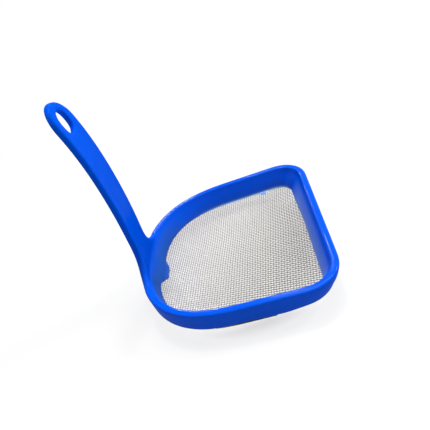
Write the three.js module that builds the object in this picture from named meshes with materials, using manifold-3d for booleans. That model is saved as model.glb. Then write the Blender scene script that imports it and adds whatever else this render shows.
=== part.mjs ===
// Mesh strainer scoop: a one-piece plastic moulding, D-shaped frame and upright handle, with a woven
// stainless wire cloth pressed into the underside of the frame.
// Millimetres, +Z up, +X towards the straight front edge, Z = 0 on the surface that the frame rests on.
// The pieces are drawn from the rearmost point of the rim, and a group centres them at the end.
import * as THREE from "three";
import { mergeVertices } from "three/addons/utils/BufferGeometryUtils.js";
import Module from "manifold-3d";

// Plan of the frame: straight front edge, nearly straight sides, round back
const frontWidth = 150;
const backWidth = 147;
const scoopLength = 138;
const cornerRadius = 26;
const backDepth = 72;
const backSquareness = 2.5;

// Section of the frame, from the outer face inwards
const frameHeight = 15.2;
const rimWidth = 5.5;
const wallDraft = 1.4;
const footRound = 2.8;
const footWidth = 2;
const ledgeReach = 12.1;
const ledgeLip = 0.8;

// Wire cloth, drawn with every fourth wire of a 1.9 mm weave
const wirePitch = 7.6;
const wireThickness = 0.5;
const crossingGap = 0.3;
const seatClearance = 0.3;
const clothFloor = 0.2;

// Handle: a strip with a bead along its edges that grows out of the back of the rim
const handleWidth = 28;
const handleThickness = 3.6;
const handleBead = 4.6;
const beadBlend = 4;
const handleRise = 134;
const handleBow = 4;
const bowHeight = 68;
const tipDrop = 8;
const tipCurve = 2.4;
const rootTaper = 36;
const rootRelief = 0.05;
const crotchRadius = 14.5;
const slotWidth = 14;
const slotLength = 16;
const slotMargin = 5.5;

// Smoothness
const backSteps = 26;
const cornerSteps = 9;
const roundSteps = 5;
const levelSteps = 9;
const acrossSteps = 8;

const wasm = await Module();
wasm.setup();

const wireRadius = wireThickness / 2;
const crimp = (wireThickness + crossingGap) / 2;
const clothMiddle = clothFloor + wireRadius + crimp;
const ledgeCeiling = clothMiddle + crimp + wireRadius + seatClearance;
const footInner = wallDraft + footRound + footWidth;
const clothCentre = scoopLength / 2;

// Linear change of width from the back of the straight sides to the front edge
function widthFactor(x) {
  const fromFront = (scoopLength - x) / (scoopLength - backDepth);
  return 1 - (1 - backWidth / frontWidth) * fromFront;
}

// How far the round back lies in front of its rearmost point at a distance y from the middle
function backCurve(y) {
  const share = Math.min(1, Math.abs((2 * y) / (frontWidth * widthFactor(0))));
  const rest = 1 - Math.pow(share, backSquareness);
  return backDepth * (1 - Math.pow(rest, 1 / backSquareness));
}

// Outer plan of the rim, anticlockwise from the middle of the back
function frameOutline() {
  const half = [];
  for (let k = 0; k <= backSteps; k++) {
    const turn = (k / backSteps) * (Math.PI / 2);
    const x = backDepth * (1 - Math.pow(Math.abs(Math.cos(turn)), 2 / backSquareness));
    const y = (frontWidth / 2) * Math.pow(Math.sin(turn), 2 / backSquareness);
    half.push(new THREE.Vector2(x, y));
  }
  half[backSteps].x = backDepth;
  for (let k = 0; k <= cornerSteps; k++) {
    const turn = (k / cornerSteps) * (Math.PI / 2);
    const x = scoopLength - cornerRadius * (1 - Math.sin(turn));
    const y = frontWidth / 2 - cornerRadius * (1 - Math.cos(turn));
    half.push(new THREE.Vector2(x, y));
  }
  half.forEach((p) => p.setY(p.y * widthFactor(p.x)));
  const mirrored = half.slice(1).map((p) => new THREE.Vector2(p.x, -p.y));
  return mirrored.concat(half.reverse());
}

const outline = frameOutline();

// The outline moved inwards by a distance, point by point along its normals
function inset(distance) {
  const count = outline.length;
  return outline.map((p, i) => {
    const before = outline[(i + count - 1) % count];
    const after = outline[(i + 1) % count];
    const along = after.clone().sub(before).normalize();
    return new THREE.Vector2(p.x - along.y * distance, p.y + along.x * distance);
  });
}

// Points of an arc in a section, as inset from the outer face and height
function sectionArc(centreInset, centreHeight, radius, from, to) {
  const points = [];
  for (let k = 0; k <= roundSteps; k++) {
    const turn = THREE.MathUtils.degToRad(from + ((to - from) * k) / roundSteps);
    const reach = centreInset + radius * Math.cos(turn);
    points.push(new THREE.Vector2(reach, centreHeight + radius * Math.sin(turn)));
  }
  return points;
}

// Closed section of the frame: round foot, rebate for the cloth, sloping inner wall, full-round rim
function frameSection() {
  const rimRadius = rimWidth / 2;
  const rimCentre = frameHeight - rimRadius;
  const footCentre = wallDraft + footRound;
  return [
    ...sectionArc(footCentre, footRound, footRound, 180, 270),
    new THREE.Vector2(footInner, 0),
    new THREE.Vector2(footInner, ledgeCeiling),
    new THREE.Vector2(ledgeReach, ledgeCeiling),
    new THREE.Vector2(ledgeReach, ledgeCeiling + ledgeLip),
    ...sectionArc(rimRadius, rimCentre, rimRadius, 0, 90),
    ...sectionArc(rimRadius, rimCentre, rimRadius, 90, 180).slice(1),
  ];
}

// Skin through a row of rings with the same number of points, joined end to end or capped
function loft(rings, joined) {
  const count = rings[0].length;
  const index = [];
  const quad = (a, b, c, d) => index.push(a, b, c, a, c, d);
  const spans = joined ? rings.length : rings.length - 1;
  for (let i = 0; i < spans; i++) {
    const near = i * count;
    const far = ((i + 1) % rings.length) * count;
    for (let k = 0; k < count; k++) {
      const next = (k + 1) % count;
      quad(near + k, near + next, far + next, far + k);
    }
  }
  if (!joined) {
    const last = (rings.length - 1) * count;
    for (let k = 0; k < count / 2 - 1; k++) {
      const mate = count - 1 - k;
      quad(k, mate, mate - 1, k + 1);
      quad(last + k, last + k + 1, last + mate - 1, last + mate);
    }
  }
  const geometry = new THREE.BufferGeometry().setFromPoints(rings.flat());
  geometry.setIndex(index);
  return geometry;
}

function solidOf(geometry) {
  geometry.deleteAttribute("normal");
  geometry.deleteAttribute("uv");
  const merged = mergeVertices(geometry, 1e-4);
  const vertProperties = new Float32Array(merged.attributes.position.array);
  const triVerts = new Uint32Array(merged.index.array);
  return new wasm.Manifold(new wasm.Mesh({ numProp: 3, vertProperties, triVerts }));
}

function geometryOf(solid) {
  const mesh = solid.getMesh();
  const geometry = new THREE.BufferGeometry();
  geometry.setAttribute("position", new THREE.BufferAttribute(mesh.vertProperties, 3));
  geometry.setIndex(new THREE.BufferAttribute(mesh.triVerts, 1));
  geometry.computeVertexNormals();
  return geometry;
}

function frameRing() {
  const layers = frameSection().map((p) => ({ plan: inset(p.x), height: p.y }));
  const rings = outline.map((_, i) =>
    layers.map(({ plan, height }) => new THREE.Vector3(plan[i].x, plan[i].y, height)),
  );
  return loft(rings, true);
}

// Half width of the handle at a height above the rim: crotch fillet, straight sides, round end
function handleHalfWidth(rise) {
  const half = handleWidth / 2;
  const endCentre = handleRise - half;
  if (rise > endCentre) return Math.sqrt(Math.max(0, half ** 2 - (rise - endCentre) ** 2));
  if (rise >= crotchRadius) return half;
  const up = crotchRadius - Math.max(0, rise);
  return half + crotchRadius - Math.sqrt(crotchRadius ** 2 - up ** 2);
}

// Distance from a point of the handle's face to its edge
function edgeDistance(y, rise) {
  const half = handleWidth / 2;
  const endCentre = handleRise - half;
  if (rise > endCentre) return half - Math.hypot(y, rise - endCentre);
  return handleHalfWidth(rise) - Math.abs(y);
}

// Half thickness of the strip: as thick as the rim at its root, then a round bead at the edge that
// eases into a flat web
function handleHalfThickness(distance, rise) {
  const risen = THREE.MathUtils.smoothstep(rise, 0, rootTaper);
  const rootHalf = rimWidth / 2 - rootRelief;
  const web = THREE.MathUtils.lerp(rootHalf, handleThickness / 2, risen);
  const radius = THREE.MathUtils.lerp(rootHalf, handleBead / 2, risen);
  const depth = Math.max(0, distance);
  if (depth < radius) return Math.sqrt(radius ** 2 - (radius - depth) ** 2);
  const eased = THREE.MathUtils.smoothstep(depth, radius, radius + beadBlend);
  return THREE.MathUtils.lerp(radius, web, eased);
}

// Middle of the strip in front of the back of the rim: a forward bow, then a tip that curves back
function handlePath(rise) {
  const root = rimWidth / 2;
  if (rise <= 0) return root;
  if (rise <= bowHeight) return root + handleBow * Math.sin(((rise / bowHeight) * Math.PI) / 2);
  const share = (rise - bowHeight) / (handleRise - bowHeight);
  return root + handleBow - tipDrop * Math.pow(share, tipCurve);
}

// Heights of the handle's rings above the rim, closer together in the crotch and at the end
function handleLevels() {
  const half = handleWidth / 2;
  const endShare = 0.999;
  const straight = handleRise - half - crotchRadius;
  const levels = [-rimWidth / 2];
  for (let k = 0; k <= levelSteps; k++) {
    const turn = (k / levelSteps) * (Math.PI / 2);
    levels.push(crotchRadius * (1 - Math.cos(turn)));
  }
  for (let k = 1; k < levelSteps; k++) levels.push(crotchRadius + (straight * k) / levelSteps);
  for (let k = 0; k <= levelSteps; k++) {
    const turn = ((k / levelSteps) * Math.PI) / 2;
    levels.push(handleRise - half + half * Math.sin(turn) * endShare);
  }
  return levels;
}

function handleStrip() {
  const leastThickness = 0.02;
  const rings = handleLevels().map((rise) => {
    const share = THREE.MathUtils.clamp(rise / handleRise, 0, 1);
    const middle = handlePath(rise);
    const half = handleHalfWidth(rise);
    const front = [];
    const rear = [];
    for (let k = -acrossSteps; k <= acrossSteps; k++) {
      const y = half * Math.sin(((k / acrossSteps) * Math.PI) / 2);
      const x = middle + backCurve(y) * (1 - share);
      const thick = Math.max(leastThickness, handleHalfThickness(edgeDistance(y, rise), rise));
      front.push(new THREE.Vector3(x + thick, y, frameHeight + rise));
      rear.unshift(new THREE.Vector3(x - thick, y, frameHeight + rise));
    }
    return front.concat(rear);
  });
  return loft(rings, false);
}

// Round-ended slot to hang the scoop by, cut through the handle from front to rear
function hangSlot() {
  const radius = slotWidth / 2;
  const top = handleRise - slotMargin - radius;
  const bottom = top - (slotLength - slotWidth);
  const shape = new THREE.Shape();
  shape.absarc(0, top, radius, 0, Math.PI);
  shape.absarc(0, bottom, radius, Math.PI, 2 * Math.PI);
  shape.closePath();
  const depth = 2 * (handleBow + tipDrop + rimWidth + handleBead);
  const geometry = new THREE.ExtrudeGeometry(shape, { depth, bevelEnabled: false, curveSegments: 8 });
  geometry.rotateX(Math.PI / 2);
  geometry.rotateZ(Math.PI / 2);
  geometry.translate(-depth / 2, 0, frameHeight);
  return geometry;
}

function mouldedBody() {
  const body = solidOf(frameRing()).add(solidOf(handleStrip()));
  return geometryOf(body.subtract(solidOf(hangSlot())));
}

// Where a line across the plan, at a place on one axis, meets the boundary that the wires end on
function wireSpan(boundary, axis, place) {
  const other = axis === "x" ? "y" : "x";
  const meets = [];
  boundary.forEach((p, i) => {
    const q = boundary[(i + 1) % boundary.length];
    if (p[other] < place === q[other] < place) return;
    const share = (place - p[other]) / (q[other] - p[other]);
    meets.push(p[axis] + share * (q[axis] - p[axis]));
  });
  return [Math.min(...meets), Math.max(...meets)];
}

// A crimped wire along one axis: it climbs over one crossing wire and dips under the next
function wovenWire(axis, row, span) {
  const [start, end] = span;
  const origin = axis === "x" ? clothCentre : 0;
  const across = row * wirePitch + (axis === "x" ? 0 : clothCentre);
  const side = axis === "x" ? 1 : -1;
  const places = [start];
  const first = Math.ceil((start - origin + wireThickness) / wirePitch);
  const last = Math.floor((end - origin - wireThickness) / wirePitch);
  for (let k = first; k <= last; k++) places.push(origin + k * wirePitch);
  places.push(end);
  const section = [
    [wireRadius, 0],
    [0, wireRadius],
    [-wireRadius, 0],
    [0, -wireRadius],
  ];
  const rings = places.map((place) => {
    const turn = (place - origin) / wirePitch;
    const crossing = Math.round(turn);
    const over = (crossing + row) % 2 === 0 ? side : -side;
    const height = clothMiddle + over * crimp * (1 - 2 * Math.abs(turn - crossing));
    return section.map(([aside, up]) =>
      axis === "x"
        ? new THREE.Vector3(place, across + aside, height + up)
        : new THREE.Vector3(across - aside, place, height + up),
    );
  });
  return loft(rings, false);
}

const bluePlastic = new THREE.MeshStandardMaterial({ color: 0x0a4fe0, roughness: 0.25, metalness: 0 });
const stainlessWire = new THREE.MeshStandardMaterial({ color: 0xc9c8c4, roughness: 0.35, metalness: 1 });

const centred = new THREE.Group();

function addPiece(name, geometry, material) {
  const mesh = new THREE.Mesh(geometry, material);
  mesh.name = name;
  centred.add(mesh);
}

addPiece("moulded_body", mouldedBody(), bluePlastic);

// Wires sit on multiples of the pitch from the middle of the cloth, as far out as the rebate has room
const boundary = inset(footInner + seatClearance + wireRadius);
const edgeMargin = wirePitch / 4;
const sideRoom = Math.min(frontWidth, backWidth) / 2 - footInner - edgeMargin;
const endRoom = scoopLength / 2 - footInner - edgeMargin;
const sets = [
  { name: "lengthwise_wire", axis: "x", rows: Math.floor(sideRoom / wirePitch), middle: 0 },
  { name: "crosswise_wire", axis: "y", rows: Math.floor(endRoom / wirePitch), middle: clothCentre },
];
for (const { name, axis, rows, middle } of sets) {
  for (let row = -rows; row <= rows; row++) {
    const number = String(row + rows + 1).padStart(2, "0");
    const span = wireSpan(boundary, axis, middle + row * wirePitch);
    addPiece(`${name}_${number}`, wovenWire(axis, row, span), stainlessWire);
  }
}

// The origin is on the resting surface, under the middle of the overall length
const size = new THREE.Box3().setFromObject(centred);
centred.position.x = -(size.min.x + size.max.x) / 2;
const scoop = new THREE.Group();
scoop.add(centred);

export default scoop;
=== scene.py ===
import math
import bmesh
import bpy
from mathutils import Matrix, Vector, noise


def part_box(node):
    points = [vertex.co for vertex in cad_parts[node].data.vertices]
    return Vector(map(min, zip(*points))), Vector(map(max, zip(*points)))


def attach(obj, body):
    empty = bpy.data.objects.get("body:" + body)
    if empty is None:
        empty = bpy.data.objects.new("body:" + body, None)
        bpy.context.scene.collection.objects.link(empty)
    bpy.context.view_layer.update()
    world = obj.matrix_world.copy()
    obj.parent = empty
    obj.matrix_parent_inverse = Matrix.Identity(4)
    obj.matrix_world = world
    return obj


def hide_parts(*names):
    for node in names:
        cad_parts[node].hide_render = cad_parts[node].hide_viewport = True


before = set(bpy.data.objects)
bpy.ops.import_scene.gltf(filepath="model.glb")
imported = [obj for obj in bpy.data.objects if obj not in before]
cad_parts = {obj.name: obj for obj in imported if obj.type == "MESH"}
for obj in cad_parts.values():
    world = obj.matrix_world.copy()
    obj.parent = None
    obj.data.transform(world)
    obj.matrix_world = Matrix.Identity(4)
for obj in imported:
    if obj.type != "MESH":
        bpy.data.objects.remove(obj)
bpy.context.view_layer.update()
mm = 0.001
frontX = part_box("moulded_body")[1].x / mm  # the straight front edge of the frame
print("frame loaded, front edge at", round(frontX, 2), "mm")


def smooth(low, high, value):
    share = min(1, max(0, (value - low) / (high - low)))
    return share * share * (3 - 2 * share)


# camera at the photograph's view: millimetres, degrees, and pixels of the 430 pixel frame
view = {
    "place": (51.3, -260.8, 217.2), "target": (-8, 32.6, 13.5), "roll": 23.75, "focal": 450, "frame": 430,
    "sensor": 36, "nearest": 10,
}


def placeCamera():
    data = bpy.data.cameras.new("camera")
    data.sensor_width = view["sensor"]
    data.lens = view["focal"] * data.sensor_width / view["frame"]
    data.clip_start = view["nearest"] * mm
    camera = bpy.data.objects.new("camera", data)
    bpy.context.scene.collection.objects.link(camera)
    place = Vector(view["place"]) * mm
    forward = (Vector(view["target"]) * mm - place).normalized()
    level = forward.cross(Vector((0, 0, 1))).normalized()
    upright = level.cross(forward)
    roll = math.radians(view["roll"])
    up = upright * math.cos(roll) + level * math.sin(roll)
    right = forward.cross(up)
    camera.matrix_world = Matrix.Translation(place) @ Matrix((right, up, -forward)).transposed().to_4x4()
    bpy.context.scene.camera = camera


placeCamera()

# the moulding's frame in millimetres; insets run from its outer face, x from the back of the rim
body = {
    "frontWidth": 150, "backWidth": 147, "length": 138, "cornerRadius": 24.5, "backDepth": 72,
    "squareness": 2.5, "height": 15.2, "rimWidth": 5.5, "rootAcross": (12, 32),
    "sideDraft": 0.4, "frontDraft": 5, "footRound": 2, "frontRound": 4, "frontReach": (86, 146),
    "footInner": 6.2, "footRoom": 0.3, "ledgeReach": 12.1, "ledgeLip": 1.5, "rebate": 0.55,
    "thinLedge": 3.2, "thinAcross": (12, 16), "thinAlong": (55, 95),
    "frontLedge": 0.7, "frontAlong": (108, 134), "cornerLedge": 1.5, "cornerAcross": (5, 45),
    "footNotch": 1.3, "notchMiddle": 71.5, "notchHalf": 24, "station": 5.2, "subdivision": 2,
}
backX = frontX - body["length"]


def widthFactor(x):  # the sides open a little towards the front
    fromFront = (body["length"] - x) / (body["length"] - body["backDepth"])
    return 1 - (1 - body["backWidth"] / body["frontWidth"]) * fromFront


def halfOutline(steps=400):  # dense outer plan of one half: round back, side, corner, front
    power = 2 / body["squareness"]
    halfWidth = body["frontWidth"] / 2
    half = []
    for k in range(steps + 1):
        turn = k / steps * math.pi / 2
        x = body["backDepth"] * (1 - abs(math.cos(turn)) ** power)
        half.append(Vector((x, halfWidth * math.sin(turn) ** power)))
    half[-1].x = body["backDepth"]
    radius = body["cornerRadius"]
    corner = Vector((body["length"] - radius, halfWidth - radius))
    parts = steps // 4
    for k in range(parts):
        half.append(half[steps].lerp(Vector((corner.x, halfWidth)), (k + 1) / (parts + 1)))
    for k in range(parts + 1):
        turn = k / parts * math.pi / 2
        half.append(corner + radius * Vector((math.sin(turn), math.cos(turn))))
    for k in range(parts):
        half.append(Vector((body["length"], corner.y * (1 - (k + 1) / parts))))
    for p in half:
        p.y *= widthFactor(p.x)
    return half


def backCurve(y):  # how far the round back lies in front of its rearmost point
    share = min(1, abs(2 * y) / (body["frontWidth"] * widthFactor(0)))
    return body["backDepth"] * (1 - (1 - share ** body["squareness"]) ** (1 / body["squareness"]))


# the handle: a strip that grows out of the rim, gets squarer edges and ends round, with a hang hole
handle = {
    "width": 28.8, "thickness": 4.1, "edge": 4.6, "rise": 134, "bow": 4.5, "bowHeight": 68, "tipDrop": 8,
    "tipCurve": 2.4, "rootTaper": 36, "crotch": 19, "slotWidth": 14, "slotLength": 16, "slotMargin": 5.5,
    "columns": 4, "cageSwell": 1.03, "edgeSquare": 1.32, "rootAngles": (14, 28, 42, 56, 72, 90),
    "rowShares": (0.12, 0.26, 0.4, 0.54, 0.68, 0.8, 0.9, 0.965, 1), "tipAngles": (0, 14, 29, 45),
    "tipTurn": 45, "slotRows": 5,
}


# points round the outline with their inward directions: the handle's columns first, then even steps
def stationsAlong(spacing, columns):
    dense = halfOutline()
    lengths = [0]
    for a, b in zip(dense, dense[1:]):
        lengths.append(lengths[-1] + (b - a).length)
    root = handle["width"] / 2 + handle["crotch"]
    start = next(s for s, p in zip(lengths, dense) if p.y >= root)
    count = round((lengths[-1] - start) / spacing)
    stops = [start * k / columns for k in range(columns)]
    stops += [start + (lengths[-1] - start) * k / count for k in range(count + 1)]
    stations = []
    i = 1
    for stop in stops:
        while i < len(dense) - 1 and lengths[i] < stop:
            i += 1
        share = (stop - lengths[i - 1]) / (lengths[i] - lengths[i - 1])
        along = (dense[i] - dense[i - 1]).normalized()
        stations.append((dense[i - 1].lerp(dense[i], share), Vector((along.y, -along.x))))
    stations[0] = (Vector((0, 0)), Vector((1, 0)))
    stations[-1] = (Vector((body["length"], 0)), Vector((-1, 0)))
    mirrored = [(Vector((p.x, -p.y)), Vector((n.x, -n.y))) for p, n in reversed(stations[1:-1])]
    return stations + mirrored


def ringPoint(station, inset, height):
    point, inward = station
    plan = point + inward * inset
    return Vector(((backX + plan.x) * mm, plan.y * mm, height * mm))


def ledgeReach(station):  # the ledge over the cloth, thinner at one side of the back, wider at the front
    point = station[0]
    thin = smooth(*body["thinAcross"], -point.y) * (1 - smooth(*body["thinAlong"], point.x))
    front = smooth(*body["frontAlong"], point.x)
    wide = body["frontLedge"] + body["cornerLedge"] * smooth(*body["cornerAcross"], point.y)
    return body["ledgeReach"] - body["thinLedge"] * thin + wide * front


def footLift(station):  # a place in the foot that the plastic did not fill, where the cloth's edge shows
    point = station[0]
    if point.y > 0:
        return 0
    share = (point.x - body["notchMiddle"]) / body["notchHalf"]
    return body["footNotch"] * max(0, 1 - share * share)


def towardsFront(station, side, front):  # a size that changes along the sides and round the front corners
    return side + (front - side) * smooth(*body["frontReach"], station[0].x)


def wallDraft(station):  # the outer wall leans in more towards the front
    return towardsFront(station, body["sideDraft"], body["frontDraft"])


def footRound(station):  # the leading edge is rounder, to slide under what is scooped
    return towardsFront(station, body["footRound"], body["frontRound"])


def footInset(station):  # inner edge of the foot, which moves in where the wall leans most
    return max(body["footInner"], wallDraft(station) + footRound(station) + body["footRoom"])


# tints by the cloth: painted shade at the back and sides, a painted reflection of the cloth at the front,
# and the thin plastic clear along the far side
tintKinds = ("thin", "paintedClothReflection", "clear")
tintPlan = {
    # by loop from the section's end: painted shade at the sides, painted shade at the back, painted
    # reflection of the cloth, clear
    "loops": {-6: (0.6, 1, 1, 1), -5: (0.6, 1, 1, 0.35), -4: (0.36, 1, 1, 0), -3: (0.048, 0.75, 0.62, 0),
              -2: (0, 0.42, 0.14, 0), -1: (0, 0.12, 0, 0)},
    "fade": 0.5, "paintedShadeStart": 0.3, "paintedShadeShift": 0.25, "paintedShadeShiftMm": 20,
    "nearGain": 0.6, "nearAcross": (0, 25), "paintedReflectionStart": 0.3, "paintedReflectionNear": (0, 30), "paintedReflectionFar": (30, 58),
    "clearSide": (0.3, 0.8), "clearBack": (0, 0.6),
}


def tintShares(station):  # how much painted shade, painted reflection of the cloth and clear plastic, each from 0 to 1
    point, inward = station
    side = min(1, max(-1, point.y / tintPlan["paintedShadeShiftMm"]))
    start = tintPlan["paintedShadeStart"] + tintPlan["paintedShadeShift"] * side  # painted shade further round one side, as the thin ledge is
    thin = smooth(start, start + tintPlan["fade"], inward.x)
    start = tintPlan["paintedReflectionStart"] * (1 - smooth(*tintPlan["paintedReflectionNear"], -point.y))  # the painted reflection of the cloth starts further round the near corner
    paintedClothReflection = smooth(start, start + tintPlan["fade"], -inward.x) * (1 - smooth(*tintPlan["paintedReflectionFar"], point.y))
    clear = smooth(*tintPlan["clearSide"], -inward.y) * (1 - smooth(*tintPlan["clearBack"], inward.x))
    return thin, paintedClothReflection, clear


def rootShare(station):  # 1 under the handle, where its face runs on into the inner wall
    point, inward = station
    atBack = inward.x > 0.5
    return 1 - smooth(*body["rootAcross"], abs(point.y)) if atBack else 0


def frameSection(station):  # cage points of the section as inset and height, the five rim points first
    width, top, foot = body["rimWidth"], body["height"], footRound(station)
    draft, footInner, root = wallDraft(station), footInset(station), rootShare(station)
    reach, lip, rebate = ledgeReach(station), body["ledgeLip"], body["rebate"]
    lift = footLift(station)
    middle = reach * 0.5 + width * 0.5 + 0.2 - root
    rim = [(width - 0.2, top - 1.3), (width - 0.55, top - 0.15), (width / 2, top + 0.1),
           (0.2, top - 0.15), (-0.05, top - 1.7)]
    outer = [(draft * 0.08, top - 3.6), (draft * 0.36, top * 0.5), (draft * 0.8, foot * 1.3 + lift),
             (draft + foot * 0.18, foot * 0.1 + lift), (draft + foot * 0.95, lift),
             (footInner - 0.3, lift * 0.7), (footInner, 0.1 + lift * 0.6)]
    under = [(footInner + 0.25, rebate), (reach - 0.9, rebate), (reach, rebate + 0.1), (reach, lip)]
    inner = [(reach - 0.55, lip + 0.75), (middle, (lip + top) * 0.5 - 0.6),
             (width + 1.5 - root, top - 4.4), (width + 0.6 - root * 0.6, top - 2.6)]
    return rim + outer + under + inner


def addLoop(bm, points):  # a closed loop of edges through the points
    verts = [bm.verts.new(p) for p in points]
    edges = [bm.edges.new((a, b)) for a, b in zip(verts, verts[1:] + verts[:1])]
    return verts, edges


def drawLoop(bm, loop, points):  # extrude a loop of edges to its next place along the section
    verts, edges = loop
    made = bmesh.ops.extrude_edge_only(bm, edges=edges)["geom"]
    fresh = {part for part in made if isinstance(part, bmesh.types.BMVert)}
    moved = [next(e.other_vert(v) for e in v.link_edges if e.other_vert(v) in fresh) for v in verts]
    for v, p in zip(moved, points):
        v.co = p
    return moved, [bm.edges.get((a, b)) for a, b in zip(moved, moved[1:] + moved[:1])]


def handlePath(rise):  # middle of the strip in front of the back of the rim
    root = body["rimWidth"] / 2
    if rise <= 0:
        return root
    if rise <= handle["bowHeight"]:
        return root + handle["bow"] * math.sin(rise / handle["bowHeight"] * math.pi / 2)
    share = (rise - handle["bowHeight"]) / (handle["rise"] - handle["bowHeight"])
    return root + handle["bow"] - handle["tipDrop"] * share ** handle["tipCurve"]


def tapered(size, rise):  # half thickness, the rim's at the root and its own above it
    rim = body["rimWidth"]
    return (rim + (size - rim) * smooth(0, handle["rootTaper"], rise)) / 2


def handleRows():  # rise, half width of the base line, crown of the middle, direction of the edge
    crotch, half, rise = handle["crotch"], handle["width"] / 2, handle["rise"]
    rows = []
    for angle in handle["rootAngles"]:
        turn = math.radians(angle)
        radius = crotch + tapered(handle["edge"], 0) * handle["cageSwell"]
        rows.append((crotch - radius * math.cos(turn), half + crotch - radius * math.sin(turn), 0,
                     (math.sin(turn), math.cos(turn))))
    slotLow = rise - handle["slotMargin"] - handle["slotLength"]
    end = rise - half
    for share in handle["rowShares"]:
        level = crotch + (slotLow - crotch) * share
        rows.append((level, half - tapered(handle["edge"], level), 0, (1, 0)))
    level = (slotLow + end) / 2
    rows.append((level, half - tapered(handle["edge"], level), 0, (1, 0)))
    base = half - tapered(handle["edge"], rise)
    for angle in handle["tipAngles"]:
        turn = math.radians(angle)
        rows.append((end + base * math.sin(turn), base * math.cos(turn), (angle / handle["tipTurn"]) ** 2,
                     (math.cos(turn), math.sin(turn))))
    return rows


def handlePoint(row, column, around):  # around: 0 front, 45 to 135 over the edge, 180 rear
    rise, width, crown, edge = row
    columns = handle["columns"]
    flat = column / columns
    tipTurn = math.radians(handle["tipTurn"])
    turn = tipTurn * flat
    share = flat + (math.sin(turn) / math.sin(tipTurn) - flat) * crown
    base = handle["width"] / 2 - tapered(handle["edge"], handle["rise"])
    y = share * width
    z = rise + crown * base * (math.cos(turn) - math.cos(tipTurn))
    out = (math.copysign(edge[0], column), edge[1])
    if crown == 1:
        out = (math.sin(turn), math.cos(turn))
    radius = tapered(handle["edge"], z) * handle["cageSwell"]
    angle = math.radians(around)
    if around in (45, 135):  # round at the root, squarer above it
        radius *= 1 + (handle["edgeSquare"] - 1) * smooth(0, handle["rootTaper"], z)
    lift = radius * math.sin(angle)
    y += out[0] * lift
    z += out[1] * lift
    x = backX + handlePath(z) + backCurve(y) * (1 - min(1, max(0, z / handle["rise"])))
    thick = radius
    if abs(column) < columns and around in (0, 180) and crown < 1:
        thick = tapered(handle["thickness"], z)
    return Vector(((x + thick * math.cos(angle)) * mm, y * mm, (body["height"] + z) * mm))


def tintLayers(bm):
    return [bm.verts.layers.float.new(kind + "Skin") for kind in tintKinds]


def buildFrame(bm, stations):
    thin, paintedClothReflection, clear = tintLayers(bm)
    sections = [frameSection(station) for station in stations]
    rings = []
    for k in range(len(sections[0])):
        rings.append([ringPoint(s, *section[k]) for s, section in zip(stations, sections)])
    loops = [addLoop(bm, rings[0])]
    for points in rings[1:]:
        loops.append(drawLoop(bm, loops[-1], points))
    for loop, (side, back, front, far) in tintPlan["loops"].items():
        for v, station in zip(loops[loop][0], stations):
            paintedShadeShare, paintedClothReflectionShare, clearShare = tintShares(station)
            # painted shade low on the inner wall, stronger on the near side; painted reflection of the
            # cloth at the front
            near = 1 + tintPlan["nearGain"] * smooth(*tintPlan["nearAcross"], -station[0].y)
            v[thin] = min(1, near * (side + (back - side) * paintedShadeShare)) * (1 - paintedClothReflectionShare)
            v[paintedClothReflection] = front * paintedClothReflectionShare
            v[clear] = far * clearShare
    bmesh.ops.bridge_loops(bm, edges=loops[-1][1] + loops[0][1])
    print("frame ring drawn", len(bm.faces), "faces")
    return [verts for verts, edges in loops[:5]]


def buildHandle(bm, rimLoops):  # pull the strip out of the rim's top faces, row by row
    columns = handle["columns"]
    grid = {}
    for verts, around in zip(rimLoops, (0, 45, 90, 135, 180)):
        for column in range(-columns, columns + 1):
            grid[verts[column]] = (column, around)
    faces = [f for f in bm.faces if all(v in grid for v in f.verts)]
    rows = []
    for row in handleRows():
        made = bmesh.ops.extrude_face_region(bm, geom=faces)["geom"]
        old = list(grid)
        fresh = {}
        for v in made:
            if isinstance(v, bmesh.types.BMVert):
                fresh[v] = grid[min(old, key=lambda o: (o.co - v.co).length_squared)]
        bmesh.ops.delete(bm, geom=faces, context="FACES_ONLY")
        faces = [f for f in made if isinstance(f, bmesh.types.BMFace)]
        for v, (column, around) in fresh.items():
            v.co = handlePoint(row, column, around)
        bmesh.ops.delete(bm, geom=[v for v in old if not v.link_faces], context="VERTS")
        grid = fresh
        rows.append({place: v for v, place in grid.items()})
    print("handle drawn out", len(bm.faces), "faces")
    return rows


def cutSlot(bm, rows):  # open the hang hole through the front and rear faces and line it with a wall
    slotLow = handle["rise"] - handle["slotMargin"] - handle["slotLength"]
    first = next(k for k, row in enumerate(handleRows()) if abs(row[0] - slotLow) < 1e-6)
    span = range(first, first + handle["slotRows"])
    middle = slotLow + handle["slotLength"] / 2
    radius = handle["slotWidth"] / 2
    straight = handle["slotLength"] / 2 - radius
    # the 16 cage points round the hole, from its lower near corner
    ring = [(span[0], c) for c in range(-2, 3)] + [(r, 2) for r in span[1:]]
    ring += [(span[-1], c) for c in range(1, -3, -1)] + [(r, -2) for r in reversed(span[1:-1])]
    rims = []
    for around in (0, 180):
        inside = {rows[r][(c, around)] for r in span for c in range(-2, 3)}
        gone = [f for f in bm.faces if all(v in inside for v in f.verts)]
        bmesh.ops.delete(bm, geom=gone, context="FACES")
        verts = [rows[r][(c, around)] for r, c in ring]
        for k, v in enumerate(verts):
            turn = math.radians(360 / len(ring) * k - 135)
            rise = math.sin(turn)
            ends = 0 if abs(rise) < 1e-6 else math.copysign(straight, rise)
            z = middle + ends + radius * rise
            x = backX + handlePath(z) + tapered(handle["thickness"], z) * (1 if around == 0 else -1)
            v.co = Vector((x * mm, radius * math.cos(turn) * mm, (body["height"] + z) * mm))
        rims += [bm.edges.get((a, b)) for a, b in zip(verts, verts[1:] + verts[:1])]
    wall = bmesh.ops.bridge_loops(bm, edges=rims)["edges"]
    bmesh.ops.subdivide_edges(bm, edges=wall, cuts=2, use_grid_fill=True)
    print("hang hole opened")


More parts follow.
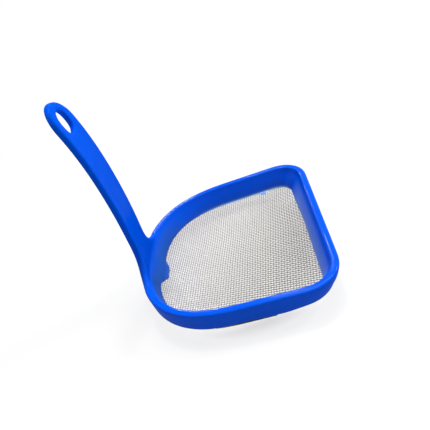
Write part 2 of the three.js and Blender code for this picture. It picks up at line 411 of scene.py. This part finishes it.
def finishPiece(name, bm, material):
    bmesh.ops.recalc_face_normals(bm, faces=bm.faces)
    mesh = bpy.data.meshes.new(name)
    bm.to_mesh(mesh)
    bm.free()
    mesh.polygons.foreach_set("use_smooth", [True] * len(mesh.polygons))
    mesh.materials.append(material)
    piece = bpy.data.objects.new(name, mesh)
    bpy.context.scene.collection.objects.link(piece)
    return piece


def soften(piece, levels):
    modifier = piece.modifiers.new("soften", "SUBSURF")
    modifier.levels = levels
    modifier.render_levels = levels


def linear(code):  # sRGB hex to linear colour
    values = [int(code[k:k + 2], 16) / 255 for k in (1, 3, 5)]
    return tuple(v / 12.92 if v <= 0.04045 else ((v + 0.055) / 1.055) ** 2.4 for v in values) + (1,)


def addNode(tree, kind, settings=None, links=None):
    node = tree.nodes.new(kind)
    for key, value in (settings or {}).items():
        if isinstance(key, str) and hasattr(node, key):
            setattr(node, key, value)
        else:
            node.inputs[key].default_value = value
    for key, socket in (links or {}).items():
        tree.links.new(socket, node.inputs[key])
    return node


def newMaterial(name):
    material = bpy.data.materials.new(name)
    material.use_nodes = True
    tree = material.node_tree
    return material, tree, tree.nodes["Principled BSDF"]


# injection-moulded polypropylene: saturated royal blue with a soft gloss and a slow sink ripple; by the
# cloth it is darker at the back (painted shade), greyer at the front (a painted reflection of the cloth)
# and lighter along the far side
plastic = {
    # the dark tint is painted shade, and the greyish blue one is a painted reflection of the cloth
    "colour": "#005cf2", "deep": "#0055e8", "thin": "#2655a9", "paintedClothReflection": "#7295ec", "clear": "#b0dcff",
    "roughness": (0.37, 0.45), "frameLustre": 0.1, "handleLustre": 0.04, "lustreEnds": (17, 45),
    "lustreRoughness": 0.07, "ior": 1.49, "grainMm": 3, "rippleMm": 8, "ripple": 0.1, "rippleDepth": 0.4,
}


def bluePolypropylene():
    material, tree, shader = newMaterial("moulded_polypropylene")
    place = addNode(tree, "ShaderNodeTexCoord").outputs["Object"]
    ripple = addNode(tree, "ShaderNodeTexNoise", {"Scale": 1 / (plastic["rippleMm"] * mm), "Detail": 2.0},
                     {"Vector": place})
    grain = addNode(tree, "ShaderNodeTexNoise", {"Scale": 1 / (plastic["grainMm"] * mm), "Detail": 2.0},
                    {"Vector": place})
    tint = addNode(tree, "ShaderNodeMix", {"data_type": "RGBA"}, {0: ripple.outputs["Fac"]})
    tint.inputs[6].default_value = linear(plastic["colour"])
    tint.inputs[7].default_value = linear(plastic["deep"])
    shown = tint
    # the tints, in turn: painted shade, a painted reflection of the cloth, and lighter clear plastic by the
    # cloth
    for kind in tintKinds:
        share = addNode(tree, "ShaderNodeAttribute", {"attribute_name": kind + "Skin"}).outputs["Fac"]
        shown = addNode(tree, "ShaderNodeMix", {"data_type": "RGBA"}, {0: share, 6: shown.outputs[2]})
        shown.inputs[7].default_value = linear(plastic[kind])
    polished, dull = plastic["roughness"]
    polish = addNode(tree, "ShaderNodeMapRange", {"To Min": polished, "To Max": dull},
                     {"Value": grain.outputs["Fac"]})
    bump = addNode(tree, "ShaderNodeBump",
                   {"Strength": plastic["ripple"], "Distance": plastic["rippleDepth"] * mm},
                   {"Height": ripple.outputs["Fac"]})
    tree.links.new(shown.outputs[2], shader.inputs["Base Color"])
    tree.links.new(polish.outputs["Result"], shader.inputs["Roughness"])
    for normal in ("Normal", "Coat Normal"):
        tree.links.new(bump.outputs["Normal"], shader.inputs[normal])
    shader.inputs["IOR"].default_value = plastic["ior"]
    shader.inputs["Specular IOR Level"].default_value = 0
    height = addNode(tree, "ShaderNodeSeparateXYZ", {}, {"Vector": place})
    low, high = plastic["lustreEnds"]
    lustre = addNode(tree, "ShaderNodeMapRange",
                     {"From Min": low * mm, "From Max": high * mm, "To Min": plastic["frameLustre"],
                      "To Max": plastic["handleLustre"]}, {"Value": height.outputs["Z"]})
    tree.links.new(lustre.outputs["Result"], shader.inputs["Coat Weight"])
    shader.inputs["Coat Roughness"].default_value = plastic["lustreRoughness"]
    return material


# drawn stainless wire: satin grey metal from the die, with duller patches; the darker, warmer tone towards
# the front is painted shade, and the two sets of wires of the weave are painted in different tones as
# painted sheen
steel = {
    "dull": "#8f8b85", "roughness": 0.36, "patchMm": 5, "patchEdge": (0.4, 0.7), "patchShare": 0.35,
    "fade": (-20, 48), "paintedShadeTurn": 35,
    # each wire set's tones, back end then front end, are painted sheen and painted shade of the one steel
    "lengthwise": ("#c6c3be", "#39342f"), "crosswise": ("#8e8a84", "#918b81"),
}


def stainlessWire(direction):
    material, tree, shader = newMaterial("drawn_stainless_wire_" + direction)
    place = addNode(tree, "ShaderNodeTexCoord").outputs["Object"]
    turned = addNode(tree, "ShaderNodeMapping", {}, {"Vector": place})
    turned.inputs["Rotation"].default_value = (0, 0, math.radians(steel["paintedShadeTurn"]))
    along = addNode(tree, "ShaderNodeSeparateXYZ", {}, {"Vector": turned.outputs["Vector"]})
    # painted shade: the wires darken towards the front wall, along a turned axis
    start, end = steel["fade"]
    fade = addNode(tree, "ShaderNodeMapRange", {"From Min": start * mm, "From Max": end * mm},
                   {"Value": along.outputs["X"]})
    tone = addNode(tree, "ShaderNodeMix", {"data_type": "RGBA"}, {0: fade.outputs["Result"]})
    tone.inputs[6].default_value = linear(steel[direction][0])
    tone.inputs[7].default_value = linear(steel[direction][1])
    patch = addNode(tree, "ShaderNodeTexNoise", {"Scale": 1 / (steel["patchMm"] * mm), "Detail": 3.0},
                    {"Vector": place})
    low, high = steel["patchEdge"]
    share = addNode(tree, "ShaderNodeMapRange",
                    {"From Min": low, "From Max": high, "To Max": steel["patchShare"]},
                    {"Value": patch.outputs["Fac"]})
    tint = addNode(tree, "ShaderNodeMix", {"data_type": "RGBA"},
                   {0: share.outputs["Result"], 6: tone.outputs[2]})
    tint.inputs[7].default_value = linear(steel["dull"])
    tree.links.new(tint.outputs[2], shader.inputs["Base Color"])
    shader.inputs["Metallic"].default_value = 1
    shader.inputs["Roughness"].default_value = steel["roughness"]
    return material


bluePlastic = bluePolypropylene()


def buildScoop():
    bm = bmesh.new()
    stations = stationsAlong(body["station"], handle["columns"])
    rows = buildHandle(bm, buildFrame(bm, stations))
    cutSlot(bm, rows)
    piece = finishPiece("scoop_moulding", bm, bluePlastic)
    soften(piece, body["subdivision"])
    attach(piece, "root")
    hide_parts("moulded_body")


buildScoop()

# plastic that was squeezed through the cloth: a ragged film along the ledge, widest under the handle
film = {
    "step": 0.95, "columns": 45, "edge": 0.3, "clearEdge": 0.45, "cleanShare": 0.2, "backTurn": (0.3, 0.8),
    "ragged": 0.55, "raggedMm": 1.7, "slow": 0.35, "slowMm": 9,
    "bulge": 4, "bulgeStart": 14, "bulgeFull": -1, "bulgeEnd": -15, "bulgeFade": 4, "bulgeTurn": 0.6,
    "bulgeRagged": 0.25, "top": 1.6, "bottom": 0.3, "buried": 1.6, "pulls": (0.5, 0.1, 0.5),
    "spot": (100.2, 59), "spotSize": (4.6, 2.8, 1), "spotRagged": 0.25, "spotClear": 0.5,
    "subdivision": 1,
}


def filmReach(station):  # how far in the film's edge lies
    point, inward = station
    clean, fine, wide = film["cleanShare"], film["raggedMm"], film["slowMm"]
    back = clean + (1 - clean) * smooth(*film["backTurn"], inward.x)  # the other edges are cleaner
    rough = back * film["ragged"] * noise.noise(Vector((point.x / fine, point.y / fine, 3)))
    slow = back * film["slow"] * noise.noise(Vector((point.x / wide, point.y / wide, 8)))
    bulge = 0
    if inward.x > film["bulgeTurn"]:
        grown = smooth(-film["bulgeStart"], -film["bulgeFull"], -point.y)
        kept = smooth(film["bulgeEnd"], film["bulgeEnd"] + film["bulgeFade"], point.y)
        bulge = film["bulge"] * grown * kept
    edge = film["edge"] * back + film["clearEdge"] * tintShares(station)[2]
    return ledgeReach(station) + edge + rough * (1 + bulge * film["bulgeRagged"]) + slow + bulge


def buildFilm():
    bm = bmesh.new()
    layers = tintLayers(bm)
    stations = stationsAlong(film["step"], film["columns"])
    middle = (film["top"] + film["bottom"]) / 2
    inner = [filmReach(s) for s in stations]
    buried = [ledgeReach(s) - film["buried"] for s in stations]
    loops = [addLoop(bm, [ringPoint(s, i, film["top"]) for s, i in zip(stations, buried)])]
    for pull, height in zip(film["pulls"], (film["top"], middle, film["bottom"])):
        points = [ringPoint(s, i - pull, height) for s, i in zip(stations, inner)]
        loops.append(drawLoop(bm, loops[-1], points))
    points = [ringPoint(s, i, film["bottom"]) for s, i in zip(stations, buried)]
    loops.append(drawLoop(bm, loops[-1], points))
    bmesh.ops.bridge_loops(bm, edges=loops[-1][1] + loops[0][1])
    # the film carries the same tints: painted shade at the back and a painted reflection of the cloth at
    # the front
    for verts, edges in loops:
        for v, station in zip(verts, stations):
            for layer, share in zip(layers, tintShares(station)):
                v[layer] = share
    spot = bmesh.ops.create_icosphere(bm, subdivisions=3, radius=0.5)["verts"]
    for v in spot:
        v[layers[2]] = film["spotClear"]
        v.co *= 1 + film["spotRagged"] * noise.noise(v.co * 3)
        along, across, up = film["spotSize"]
        v.co = Vector((backX + film["spot"][0] + v.co.x * along, film["spot"][1] + v.co.y * across,
                       film["top"] + v.co.z * up)) * mm
    piece = finishPiece("melt_film", bm, bluePlastic)
    soften(piece, film["subdivision"])
    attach(piece, "root")
    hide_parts("moulded_body")
    print("melt film drawn", len(stations), "stations")


buildFilm()

# plain-woven wire cloth pressed into the underside of the frame
cloth = {
    "pitch": 1.9, "wire": 0.5, "sides": 6, "height": 0.8, "askew": -8, "beyondFoot": 0.7, "step": 1.5,
    "columns": 28, "edgeInset": 2.4, "edgeRows": (1.5, 2.1, 2.7), "edgeFrom": 0.25,
    "wander": 0.9, "wanderMm": 34, "sag": 0.25, "freeHalf": (57, 62), "fewestSteps": 3,
}
askew = Matrix.Rotation(math.radians(cloth["askew"]), 2)  # the cloth was cut a little askew


def clothBoundary():
    boundary = []
    for station in stationsAlong(cloth["step"], cloth["columns"]):
        share = footLift(station) / body["footNotch"]
        inner = footInset(station) + cloth["beyondFoot"]
        inset = inner + (cloth["edgeInset"] - inner) * share
        boundary.append((station[0] + station[1] * inset) @ askew)
    return boundary


def chord(boundary, axis, place):  # where a wire's line crosses the boundary
    other = 1 - axis
    meets = []
    for a, b in zip(boundary, boundary[1:] + boundary[:1]):
        if (a[other] < place) != (b[other] < place):
            share = (place - a[other]) / (b[other] - a[other])
            meets.append(a[axis] + share * (b[axis] - a[axis]))
    return (min(meets), max(meets)) if len(meets) > 1 else (0, 0)


def clothPoint(alongWeave, acrossWeave, lift):  # a point of the flat weave moved by the cloth's slack
    x, y = askew @ Vector((alongWeave, acrossWeave))
    middle = body["length"] / 2
    halfLength, halfWidth = cloth["freeHalf"]
    free = max(0, 1 - (y / halfWidth) ** 2) * max(0, 1 - ((x - middle) / halfLength) ** 2)
    scale = cloth["wanderMm"]
    dx = cloth["wander"] * noise.noise(Vector((x / scale, y / scale, 2)))
    dy = cloth["wander"] * noise.noise(Vector((x / scale, y / scale, 11)))
    z = cloth["height"] - cloth["sag"] * free + lift
    return ((backX + x + dx) * mm, (y + dy) * mm, z * mm, 1)


def addCutEdge(curve):  # the outermost wires, which follow the cut and show in the foot's unfilled place
    lowest = cloth["edgeFrom"] * body["footNotch"]
    stations = [s for s in stationsAlong(cloth["step"], cloth["columns"]) if footLift(s) > lowest]
    for inset in cloth["edgeRows"]:
        spline = curve.splines.new("POLY")
        spline.points.add(len(stations) - 1)
        for station, point in zip(stations, spline.points):
            point.co = (*ringPoint(station, inset, cloth["height"] - cloth["wire"]), 1)


def buildCloth(direction, axis):
    name = direction + "_cloth"
    boundary = clothBoundary()
    centre = Vector((body["length"] / 2, 0)) @ askew
    pitch = cloth["pitch"]
    curve = bpy.data.curves.new(name, "CURVE")
    curve.dimensions = "3D"
    curve.bevel_depth = cloth["wire"] / 2 * mm
    curve.bevel_resolution = cloth["sides"] // 2 - 2
    curve.use_fill_caps = True
    crimp = cloth["wire"] / 2 * (1 if axis == 0 else -1)
    places = [p[1 - axis] - centre[1 - axis] for p in boundary]
    for k in range(math.ceil(min(places) / pitch), math.floor(max(places) / pitch) + 1):
        place = centre[1 - axis] + k * pitch
        low, high = chord(boundary, axis, place)
        first = math.ceil((low - centre[axis]) / pitch * 2)
        last = math.floor((high - centre[axis]) / pitch * 2)
        if last - first < cloth["fewestSteps"]:
            continue
        spline = curve.splines.new("POLY")
        spline.points.add(last - first)
        for n, point in zip(range(first, last + 1), spline.points):
            along = centre[axis] + n * pitch / 2
            lift = 0 if n % 2 else crimp * (1 if (n // 2 + k) % 2 else -1)
            spot = (along, place) if axis == 0 else (place, along)
            point.co = clothPoint(*spot, lift)
    if axis == 0:
        addCutEdge(curve)
    drawn = bpy.data.objects.new(name + "_path", curve)
    bpy.context.scene.collection.objects.link(drawn)
    bpy.context.view_layer.update()
    mesh = bpy.data.meshes.new_from_object(drawn.evaluated_get(bpy.context.evaluated_depsgraph_get()))
    bpy.data.objects.remove(drawn)
    bm = bmesh.new()
    bm.from_mesh(mesh)
    bpy.data.meshes.remove(mesh)
    bmesh.ops.remove_doubles(bm, verts=bm.verts, dist=0.001 * mm)  # closes the wires' ends
    print(name, len(curve.splines), "wires", len(bm.faces), "faces")
    piece = finishPiece(name, bm, stainlessWire(direction))
    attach(piece, "root")
    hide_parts(*[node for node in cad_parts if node.startswith(direction + "_wire")])


buildCloth("lengthwise", 0)
buildCloth("crosswise", 1)

# white paper floor just below the scoop, whose own white glow is weaker under it, as painted shade, and
# full far away, and soft studio light with a key from the front edge's side; the lamps marked gloss make
# highlights alone
studio = {
    "floorDrop": 9, "floorSize": 3000, "floor": "#fafafa", "bounce": "#c6c6c6", "floorRoughness": 0.9,
    "paintedShadeGlow": 0.48, "floorGlow": 0.82, "paintedShadeMiddle": (0.008, -0.003, 0), "paintedShadeEdge": (0.06, 0.074),
    "farEdge": (0.2, 0.55), "worldLight": 0.3,
}
lamps = {
    "overhead": {"place": (0.3, 0.7, 2), "size": 1.1, "power": 26},
    "spot": {"place": (0.2, 0.66, 2), "size": 0.16, "power": 9},
    "key": {"place": (1.6, 0.5, 1.2), "size": 0.4, "power": 14.5},
    "glint": {"place": (0.95, 0.13, 1.16), "size": 0.14, "power": 2.5},
    "back": {"place": (-0.39, 1.24, 0.78), "size": 0.2, "power": 8, "gloss": True},
    "corner": {"place": (-0.05, 1.0, 0.98), "size": 0.12, "power": 3.5, "gloss": True},
}


def seenDirectly(tree):  # 1 for rays from the camera, gloss and clear pieces, so that all of them see white
    path = addNode(tree, "ShaderNodeLightPath").outputs
    first = addNode(tree, "ShaderNodeMath", {"operation": "MAXIMUM"},
                    {0: path["Is Camera Ray"], 1: path["Is Glossy Ray"]})
    second = addNode(tree, "ShaderNodeMath", {"operation": "MAXIMUM"},
                     {0: first.outputs[0], 1: path["Is Transmission Ray"]})
    return second.outputs[0]


def buildFloor():
    bm = bmesh.new()
    bmesh.ops.create_grid(bm, x_segments=1, y_segments=1, size=studio["floorSize"] * mm / 2)
    bmesh.ops.translate(bm, verts=bm.verts, vec=(0, 0, -studio["floorDrop"] * mm))
    material, tree, shader = newMaterial("white_paper")
    seen = seenDirectly(tree)
    tone = addNode(tree, "ShaderNodeMix", {"data_type": "RGBA"}, {0: seen})
    tone.inputs[6].default_value = linear(studio["bounce"])
    tone.inputs[7].default_value = linear(studio["floor"])
    tree.links.new(tone.outputs[2], shader.inputs["Base Color"])
    shader.inputs["Roughness"].default_value = studio["floorRoughness"]
    shader.inputs["Specular IOR Level"].default_value = 0
    glow = addNode(tree, "ShaderNodeEmission", {"Strength": 1.0})
    place = addNode(tree, "ShaderNodeTexCoord").outputs["Object"]
    # painted shade: the floor glows less under the scoop and fully far from it
    away = addNode(tree, "ShaderNodeVectorMath", {"operation": "DISTANCE", 1: studio["paintedShadeMiddle"]},
                   {0: place})
    spans = {"paintedShadeEdge": (studio["paintedShadeGlow"], studio["floorGlow"]), "farEdge": (0, 1)}
    levels = []
    for edge, (low, high) in spans.items():
        start, end = studio[edge]
        rise = addNode(tree, "ShaderNodeMapRange",
                       {"From Min": start, "From Max": end, "To Min": low, "To Max": high},
                       {"Value": away.outputs["Value"]})
        levels.append(rise.outputs["Result"])
    level = addNode(tree, "ShaderNodeMath", {"operation": "MAXIMUM"}, {0: levels[0], 1: levels[1]})
    share = addNode(tree, "ShaderNodeMath", {"operation": "MULTIPLY"}, {0: seen, 1: level.outputs[0]})
    paper = addNode(tree, "ShaderNodeMixShader", {},
                    {0: share.outputs[0], 1: shader.outputs[0], 2: glow.outputs[0]})
    below = addNode(tree, "ShaderNodeNewGeometry").outputs["Backfacing"]
    clear = addNode(tree, "ShaderNodeBsdfTransparent")
    mixed = addNode(tree, "ShaderNodeMixShader", {}, {0: below, 1: paper.outputs[0], 2: clear.outputs[0]})
    tree.links.new(mixed.outputs[0], tree.nodes["Material Output"].inputs["Surface"])
    finishPiece("floor", bm, material)


def buildLight():
    world = bpy.data.worlds.new("studio")
    bpy.context.scene.world = world
    world.use_nodes = True
    tree = world.node_tree
    level = addNode(tree, "ShaderNodeMapRange", {"To Min": studio["worldLight"], "To Max": 1.0},
                    {"Value": seenDirectly(tree)})
    background = tree.nodes["Background"]
    background.inputs["Color"].default_value = (1, 1, 1, 1)
    tree.links.new(level.outputs["Result"], background.inputs["Strength"])
    for name, lamp in lamps.items():
        data = bpy.data.lights.new(name, "AREA")
        data.size = lamp["size"]
        data.energy = lamp["power"]
        light = bpy.data.objects.new(name, data)
        light.location = lamp["place"]
        light.rotation_euler = (-Vector(lamp["place"])).to_track_quat("-Z", "Y").to_euler()
        light.visible_diffuse = not lamp.get("gloss", False)
        bpy.context.scene.collection.objects.link(light)


buildFloor()
buildLight()
print("floor laid and", len(lamps), "lamps placed")
bpy.context.scene.view_settings.view_transform = "Standard"
